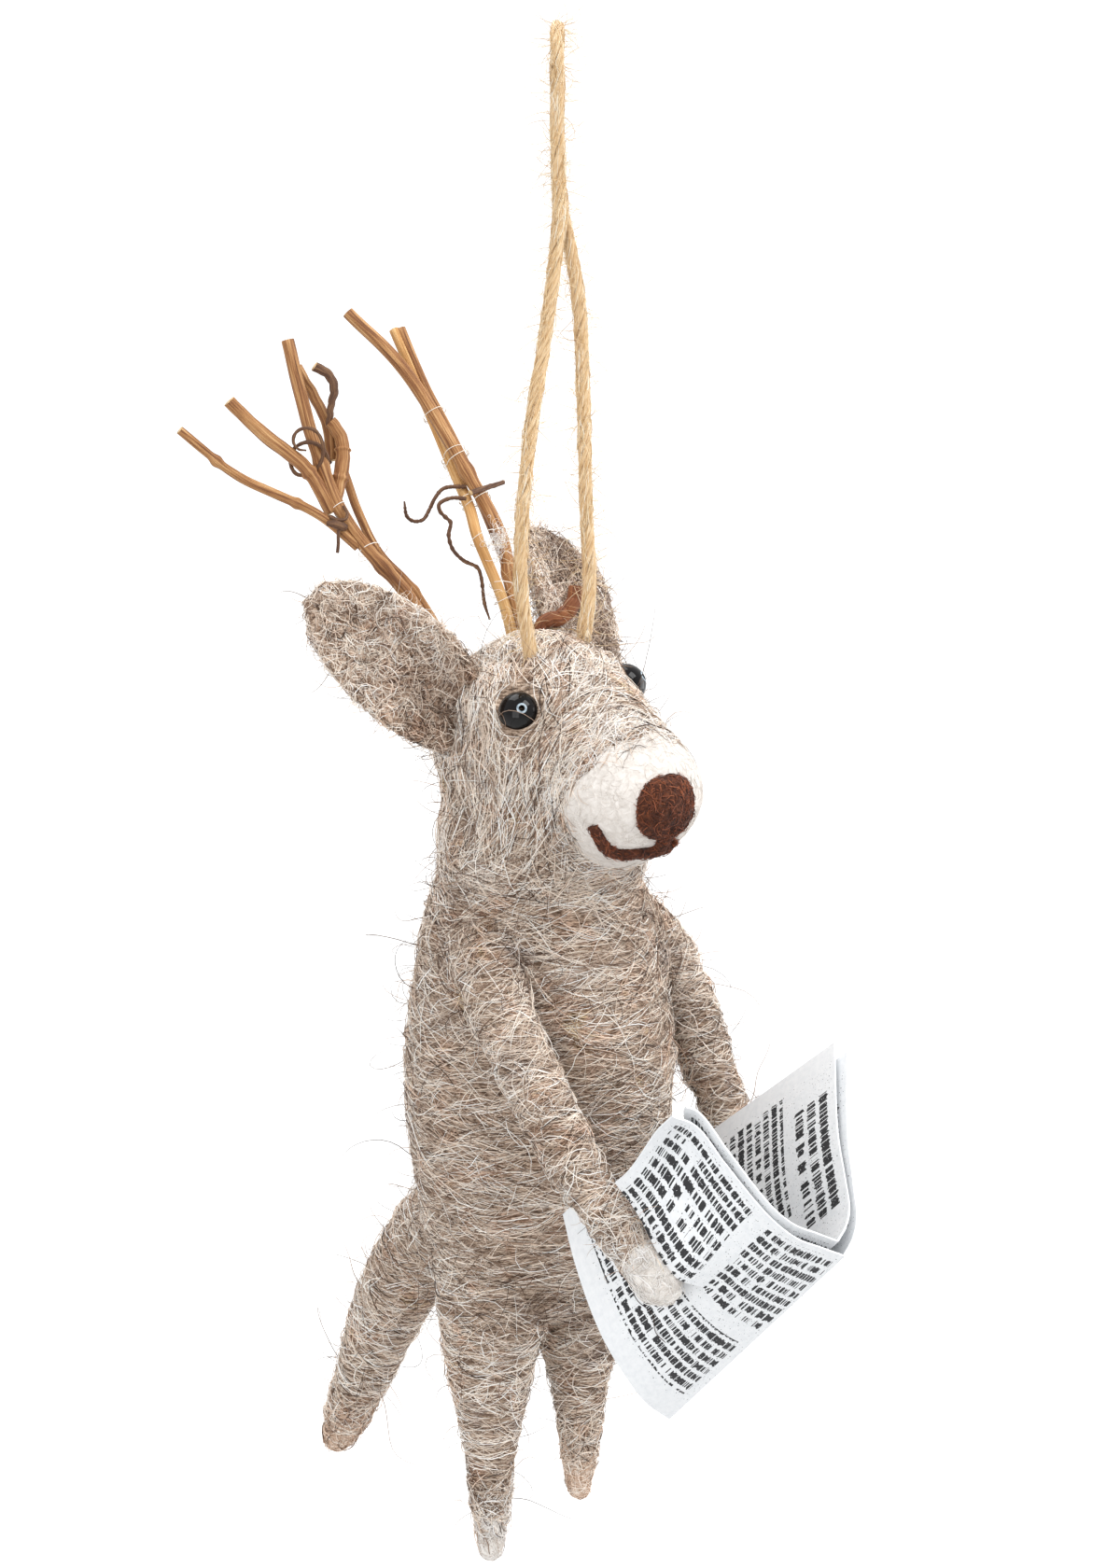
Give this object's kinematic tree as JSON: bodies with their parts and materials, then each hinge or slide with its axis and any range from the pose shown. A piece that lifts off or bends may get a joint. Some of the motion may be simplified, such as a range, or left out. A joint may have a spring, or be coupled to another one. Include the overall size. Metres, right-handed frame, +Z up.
{
  "type": "animal figurine ornament",
  "caption": "Hanging wool deer with twig antlers on a twine loop, holding a folded newspaper in its hands.",
  "frame": {"origin": "inside of the top of the twine loop, where a hook carries the ornament", "axes": "+Z up, the deer faces -Y and its left side is +X"},
  "size_m": [0.0676, 0.1112, 0.2491],
  "materials": {
    "wool": "loosely felted grey-beige wool with long stray fibres",
    "ear_wool": "curly felted grey-beige wool",
    "white_felt": "dense white needle felt",
    "pale_wool": "pale tan felted wool",
    "brown_felt": "dense dark brown needle felt",
    "bead_glass": "glossy black",
    "twig_bark": "matt brown vine bark",
    "split_wood": "bare split wood",
    "dark_bark": "dry dark tendril bark",
    "red_bark": "dry red-brown bark",
    "newsprint": "smooth white paper with rows of black bars",
    "jute": "two-ply golden jute with stray fibres",
    "wire": "bare wire, inside the wool"
  },
  "bodies": {
    "loop": {"hanging_twine": "jute"},
    "figure": {"body": "wool", "head": "wool", "muzzle": "white_felt", "nose": "brown_felt", "mouth": "brown_felt", "right_eye_bead": "bead_glass", "left_eye_bead": "bead_glass", "right_ear": "ear_wool", "left_ear": "ear_wool", "right_arm": "wool", "right_hand": "white_felt", "left_arm": "wool", "left_hand": "white_felt", "right_leg": "wool", "right_foot": "white_felt", "left_leg": "wool", "left_foot": "pale_wool", "tail": "wool", "tail_tip": "pale_wool", "arm_wire": "wire", "leg_wire": "wire", "tail_wire": "wire", "right_antler_main_twig": "twig_bark", "right_antler_thin_twig": "twig_bark", "right_antler_front_twig": "twig_bark", "right_antler_outer_twig": "twig_bark", "right_antler_knotted_twig": "twig_bark", "right_antler_split_twig": "twig_bark", "left_antler_main_twig": "twig_bark", "left_antler_back_twig": "twig_bark", "left_antler_split_twig": "split_wood", "right_antler_leaf_stalk": "dark_bark", "left_antler_cross_peg": "dark_bark", "bark_chip": "red_bark", "right_antler_tendril": "dark_bark", "left_antler_short_tendril": "dark_bark", "left_antler_long_tendril": "dark_bark", "newspaper_outer_sheet": "newsprint", "newspaper_inner_sheet": "newsprint"}
  },
  "joints": [
    {"name": "swing", "type": "hinge", "parent": "loop", "child": "figure", "pos_m": [0, 0, -0.0985], "axis": [1, 0, 0], "range_deg": [-60, 40]}
  ]
}
